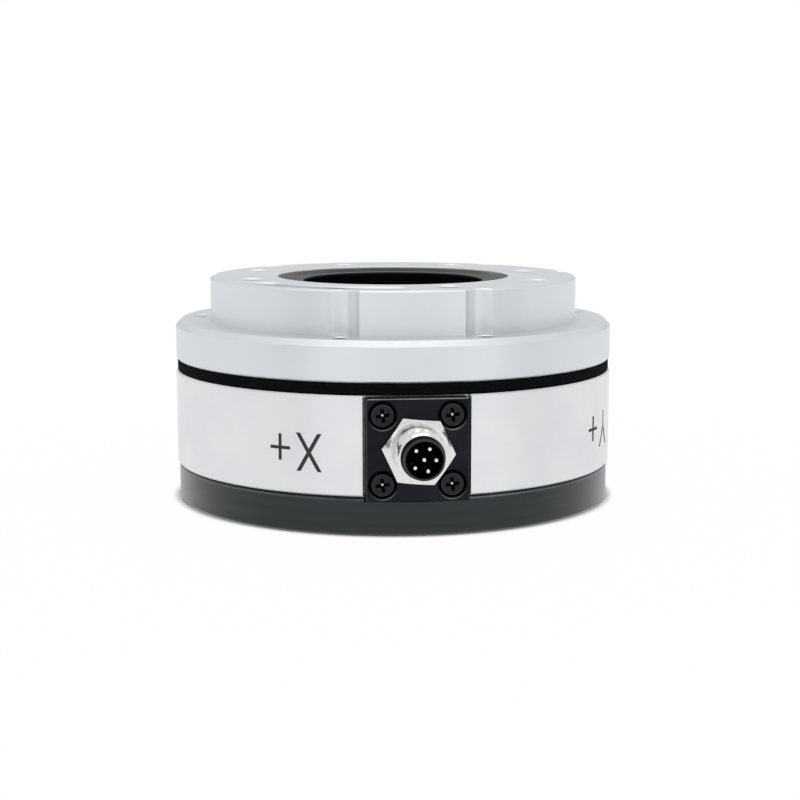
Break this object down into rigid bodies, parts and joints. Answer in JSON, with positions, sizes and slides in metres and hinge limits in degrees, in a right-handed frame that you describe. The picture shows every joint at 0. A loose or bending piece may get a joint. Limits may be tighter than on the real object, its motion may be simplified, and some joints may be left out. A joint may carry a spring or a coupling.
{
  "type": "force torque sensor",
  "caption": "Six-axis force torque sensor for a robot wrist: round housing on a dark base plate, stepped load flange with through bore, and a round signal connector on its side.",
  "frame": {"origin": "centre of the base plate's underside, on the sensor's axis", "axes": "+Z along the sensor's axis towards the tool; -Y out of the signal connector; +X to the right of the connector as seen from outside"},
  "size_m": [0.075, 0.0839, 0.0378],
  "materials": {
    "base_aluminium": "black anodised, fine satin",
    "clear_aluminium": "bead blasted and clear anodised",
    "flexure_aluminium": "milled",
    "black_aluminium": "black anodised",
    "sleeve_plastic": "turned black plastic",
    "seal_foam": "closed cell foam rubber",
    "gasket_rubber": "smooth black rubber",
    "nickel": "bright nickel plated",
    "zinc_steel": "zinc plated",
    "black_steel": "black oxide",
    "insert_plastic": "moulded black plastic",
    "gold_contact": "gold plated",
    "circuit_laminate": "green solder mask",
    "chip_epoxy": "moulded epoxy",
    "polyimide": "polyimide film with copper",
    "brass": "turned brass"
  },
  "bodies": {
    "root": {"base_plate": "base_aluminium", "base_gasket": "gasket_rubber", "housing_ring": "clear_aluminium", "locating_pins": "zinc_steel", "captive_screws": "zinc_steel", "flexure": "flexure_aluminium", "flexure_screws": "black_steel", "strain_gauges": "polyimide", "gauge_leads": "polyimide", "circuit_board": "circuit_laminate", "signal_chips": "chip_epoxy", "board_standoffs": "brass", "board_screws": "zinc_steel", "contact_board": "circuit_laminate", "load_flange": "clear_aluminium", "flange_screws": "black_steel", "stop_screws": "black_steel", "seal_band": "seal_foam", "bore_sleeve": "sleeve_plastic", "sleeve_seal": "seal_foam", "connector_plate": "black_aluminium", "plate_gasket": "gasket_rubber", "plate_screws": "black_steel", "connector_shell": "nickel", "connector_seal": "gasket_rubber", "connector_insert": "insert_plastic", "contact_pins": "gold_contact"}
  },
  "joints": []
}
